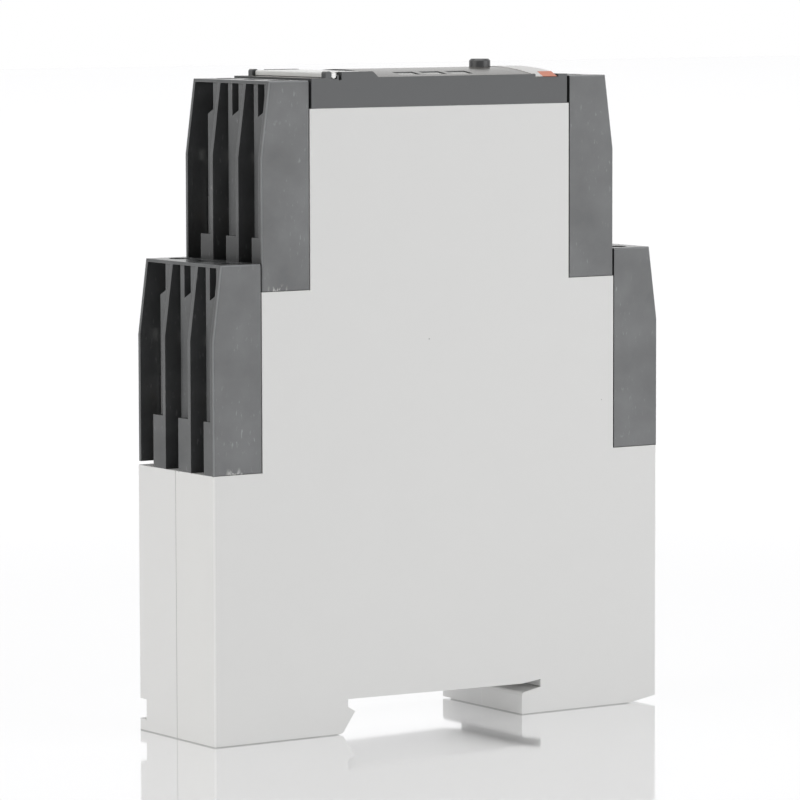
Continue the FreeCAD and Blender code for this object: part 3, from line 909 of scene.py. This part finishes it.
    def build(self) -> None:
        """Model one clamp screw and set a copy in every cell."""
        even = (1.0, 1.0, 1.0)
        steel = PlatedMetal("screw_steel", self.screw_colour, self.screw_roughness, streak=even)
        pattern = self.model_screw()
        bpy.ops.object.shade_smooth_by_angle(angle=self.smooth_angle)
        for tag in self.tags():
            node = f"clamp_screw_{tag}"
            low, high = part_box(node)
            screw = bpy.data.objects.new(node, pattern.data.copy())
            bpy.context.collection.objects.link(screw)
            top = Vector(((low.x + high.x) / 2, (low.y + high.y) / 2, high.z))
            screw.data.transform(Matrix.Translation(top))
            Bench.finish(screw, f"threaded_screw_{tag}", f"screw_{tag}", "screw_steel", steel)
            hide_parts(node)
        bpy.data.objects.remove(pattern)


@dataclass
class FrontFace:
    """The front cover with its marker flap, push button, status windows and label field."""

    cover_colour: Colour = (0.068, 0.071, 0.074)
    crown_colour: Colour = (0.104, 0.098, 0.088)
    flap_colour: Colour = (0.93, 0.93, 0.92)
    button_colour: Colour = (0.044, 0.045, 0.047)
    window_colour: Colour = (0.21, 0.207, 0.197)
    light_colour: Colour = (0.72, 0.7, 0.55)
    field_colour: Colour = (0.87, 0.86, 0.85)
    bar_colour: Colour = (0.78, 0.27, 0.17)
    field_start_x: float = 17.7 * MM
    field_end_x: float = 22.6 * MM
    field_margin: float = 0.25 * MM
    field_lift: float = 0.01 * MM
    bar_start_x: float = 19.9 * MM
    bar_end_x: float = 22.6 * MM
    bar_width: float = 1.6 * MM
    bar_lift: float = 0.06 * MM
    film_thickness: float = 0.04 * MM
    film_cell: float = 0.25 * MM
    smooth_angle: float = math.radians(40)

    def dress(self) -> None:
        """Give the nodes of the front face their finishes."""
        cover = MouldedPlastic(
            "cover_plastic",
            self.cover_colour,
            roughness=0.22,
            grain_depth=0.001 * MM,
            # painted highlight along the cover's edges
            painted_edge_highlight=0.35,
            specular=0.35,
            top_colour=self.crown_colour,
        )
        flap = MouldedPlastic(
            # faint painted highlight along the flap's edges
            "flap_plastic", self.flap_colour, roughness=0.2, cloud_share=0.02, painted_edge_highlight=0.02
        )
        button = MouldedPlastic("button_plastic", self.button_colour, roughness=0.25)
        dress(["front_cover"], cover)
        dress(["marker_flap"], flap)
        dress(["push_button"], button)
        dress(["status_windows"], LampLens("window_plastic", self.window_colour))
        dress(["status_lights"], LampLens("light_plastic", self.light_colour))

    def lay_film(self, corner: Vector, size: Vector, lift: float) -> bpy.types.Object:
        """Lay a piece of thin film on the cover so that it follows the crown and the dip.

        Args:
            corner: The film's corner with the lowest X and Y.
            size: Its length along X and Y.
            lift: How far it stands off the cover.

        Returns:
            The film.
        """
        Bench.clear()
        middle = corner + size / 2
        bpy.ops.mesh.primitive_grid_add(
            x_subdivisions=max(1, round(size.x / self.film_cell)),
            y_subdivisions=max(1, round(size.y / self.film_cell)),
            size=1,
            location=(middle.x, middle.y, CAD_BOX[1].z + MM),
        )
        film = bpy.context.object
        film.scale = (size.x, size.y, 1)
        bpy.ops.object.transform_apply(location=True, scale=True)
        wrap = {
            "target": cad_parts["front_cover"],
            "wrap_method": "PROJECT",
            "use_project_z": True,
            "use_negative_direction": True,
            "use_positive_direction": False,
            "offset": lift,
        }
        Bench.modify(film, "SHRINKWRAP", wrap)
        Bench.modify(film, "SOLIDIFY", {"thickness": self.film_thickness, "offset": 1.0})
        Bench.settle(film)
        bpy.ops.object.shade_smooth_by_angle(angle=self.smooth_angle)
        return film

    def build(self) -> None:
        """Lay the plain label field and its colour bar on the end of the crown."""
        low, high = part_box("front_cover")
        margin = self.field_margin
        corner = Vector((self.field_start_x, low.y + margin, 0))
        size = Vector((self.field_end_x - self.field_start_x, high.y - low.y - 2 * margin, 0))
        field = self.lay_film(corner, size, self.field_lift)
        white = PrintFilm("field_white", self.field_colour)
        Bench.finish(field, "label_field", "housing", "flap_plastic", white)
        corner = Vector((self.bar_start_x, low.y + margin / 2, 0))
        size = Vector((self.bar_end_x - self.bar_start_x, self.bar_width, 0))
        bar = self.lay_film(corner, size, self.bar_lift)
        orange = PrintFilm("bar_orange", self.bar_colour)
        Bench.finish(bar, "label_bar", "housing", "flap_plastic", orange)


@dataclass
class SettingSwitch:
    """The setting switch under the marker flap and the tact switch under the button."""

    count: int = 4
    roughness: float = 0.4
    body_colour: Colour = (0.045, 0.05, 0.06)
    slider_colour: Colour = (0.78, 0.77, 0.74)
    slider_clouds: float = 0.02
    plunger_colour: Colour = (0.07, 0.07, 0.075)

    def dress(self) -> None:
        """Give the switch bodies, the sliders and the plunger their finishes."""
        body = MouldedPlastic("switch_plastic", self.body_colour, self.roughness)
        slider = MouldedPlastic(
            "slider_plastic", self.slider_colour, self.roughness, cloud_share=self.slider_clouds
        )
        plunger = MouldedPlastic("plunger_plastic", self.plunger_colour, self.roughness)
        dress(["setting_switch_body", "tact_switch_body"], body)
        dress([f"setting_slider_{number + 1}" for number in range(self.count)], slider)
        dress(["tact_plunger"], plunger)


@dataclass
class InnerWorks:
    """The boards and what they carry inside the closed housing."""

    board_colour: Colour = (0.03, 0.16, 0.07)
    relay_colour: Colour = (0.05, 0.07, 0.13)
    core_colour: Colour = (0.35, 0.34, 0.33)
    can_colour: Colour = (0.5, 0.5, 0.52)
    chip_colour: Colour = (0.03, 0.03, 0.032)

    def dress(self) -> None:
        """Give the boards, relays, transformer, capacitors and chip their finishes."""
        dress(["main_board", "front_board"], BoardLaminate("board_laminate", self.board_colour))
        relay = MouldedPlastic("relay_plastic", self.relay_colour, roughness=0.35)
        dress(["output_relay_1", "output_relay_2"], relay)
        dress(["transformer"], PlatedMetal("core_iron", self.core_colour, roughness=0.5))
        can = PlatedMetal("capacitor_can", self.can_colour, roughness=0.35)
        dress(["capacitor_1", "capacitor_2"], can)
        dress(["controller_chip"], MouldedPlastic("chip_plastic", self.chip_colour, roughness=0.5))


@dataclass(frozen=True)
class SoftLamp:
    """One soft rectangular studio lamp, aimed at the part."""

    name: str
    place: tuple[float, float, float]
    size: tuple[float, float]
    power: float
    tint: Colour = (1.0, 1.0, 1.0)

    def build(self, target: Vector) -> None:
        """Add the lamp.

        Args:
            target: The point that it is aimed at.
        """
        light = bpy.data.lights.new(self.name, "AREA")
        light.shape = "RECTANGLE"
        light.size, light.size_y = self.size
        light.energy = self.power
        light.color = self.tint
        lamp = bpy.data.objects.new(self.name, light)
        bpy.context.collection.objects.link(lamp)
        lamp.location = self.place
        lamp.rotation_euler = (Vector(self.place) - target).to_track_quat("Z", "Y").to_euler()


@dataclass
class Studio:
    """The white glossy table, the white surroundings, the lamps and the camera."""

    camera_place: tuple[float, float, float] = (-0.43526, -0.64351, 0.12235)
    camera_target: tuple[float, float, float] = (-0.00045, 0.0, 0.05117)
    camera_roll: float = -0.14
    lens: float = 218.15
    sensor: float = 36.0
    table_size: float = 8.0
    table_colour: Colour = (0.97, 0.97, 0.975)
    table_gloss: float = 0.07
    table_mirror: float = 0.87
    mirror_colour: Colour = (0.995, 0.995, 1.0)
    mirror_middle: float = 0.6
    mirror_blur: float = 0.3
    table_glow: float = 0.4
    shadow_reach: float = 0.3
    surround: float = 0.08
    lamps: tuple[SoftLamp, ...] = (
        SoftLamp("left", (-0.71, 0.08, 0.24), (0.6, 0.6), 2.3, (1.0, 0.99, 0.965)),
        SoftLamp("right_front", (0.42, -0.64, 0.24), (0.7, 0.7), 3.1),
        SoftLamp("top", (0.0, 0.1, 0.95), (0.7, 0.7), 3.0),
    )

    def build(self) -> None:
        """Add the whole studio."""
        self.build_table()
        self.build_surround()
        self.build_camera()
        for lamp in self.lamps:
            lamp.build(Vector(self.camera_target))
        bpy.context.scene.view_settings.view_transform = "Standard"

    def build_table(self) -> None:
        """Add the white table, which mirrors the part at a grazing view and keeps its shadow."""
        Bench.clear()
        bpy.ops.mesh.primitive_plane_add(size=self.table_size)
        table = bpy.context.object
        table.name = "table"
        material = bpy.data.materials.new("table_white")
        material.use_nodes = True
        shader = Shader(material.node_tree)
        grazing = shader.value("ShaderNodeLayerWeight", output="Facing")
        matt = shader.value("ShaderNodeBsdfDiffuse", None, {"Color": (*self.table_colour, 1.0)})
        mirror_inputs = {"Color": (*self.mirror_colour, 1.0), "Roughness": self.table_gloss}
        mirror = shader.value("ShaderNodeBsdfAnisotropic", None, mirror_inputs)
        length = {"operation": "LENGTH"}
        distance = shader.value("ShaderNodeVectorMath", length, {0: shader.place()}, "Value")
        far_off = distance.above(self.shadow_reach, self.shadow_reach / 2)
        strength = shader.white_when_seen(self.table_glow, far_off)
        glow_inputs = {"Color": (*self.table_colour, 1.0), "Strength": strength}
        glow = shader.value("ShaderNodeEmission", None, glow_inputs)
        lit = shader.value("ShaderNodeAddShader", None, {0: matt, 1: glow})
        share = grazing.above(self.mirror_middle, self.mirror_blur) * self.table_mirror
        shade = shader.value("ShaderNodeMixShader", None, {0: share, 1: lit, 2: mirror})
        shader.node("ShaderNodeOutputMaterial", None, {"Surface": shade})
        table.data.materials.append(material)

    def build_surround(self) -> None:
        """Make the surroundings white to the camera and in reflections, and softly lit elsewhere."""
        world = bpy.data.worlds.new("surround")
        bpy.context.scene.world = world
        world.use_nodes = True
        shader = Shader(world.node_tree)
        strength = shader.white_when_seen(self.surround)
        light = shader.value("ShaderNodeBackground", None, {"Color": (1, 1, 1, 1), "Strength": strength})
        shader.node("ShaderNodeOutputWorld", None, {"Surface": light})

    def build_camera(self) -> None:
        """Add the camera at the photograph's viewing angle."""
        data = bpy.data.cameras.new("camera")
        data.lens = self.lens
        data.sensor_width = self.sensor
        camera = bpy.data.objects.new("camera", data)
        bpy.context.collection.objects.link(camera)
        place = Vector(self.camera_place)
        sight = Vector(self.camera_target) - place
        facing = sight.to_track_quat("-Z", "Y").to_matrix().to_4x4()
        roll = Matrix.Rotation(math.radians(self.camera_roll), 4, "Z")
        camera.matrix_world = Matrix.Translation(place) @ facing @ roll
        bpy.context.scene.camera = camera


def write_sizes() -> None:
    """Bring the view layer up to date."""
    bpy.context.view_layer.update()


def main() -> None:
    """Build the sub-assemblies and the studio in order."""
    logging.basicConfig(level=logging.INFO, format="%(name)s: %(message)s")
    HousingShells().dress()
    tiers = TerminalTiers()
    tiers.dress()
    tiers.build()
    front = FrontFace()
    front.dress()
    front.build()
    SettingSwitch().dress()
    InnerWorks().dress()
    Studio().build()
    write_sizes()


if __name__ == "__main__":
    main()
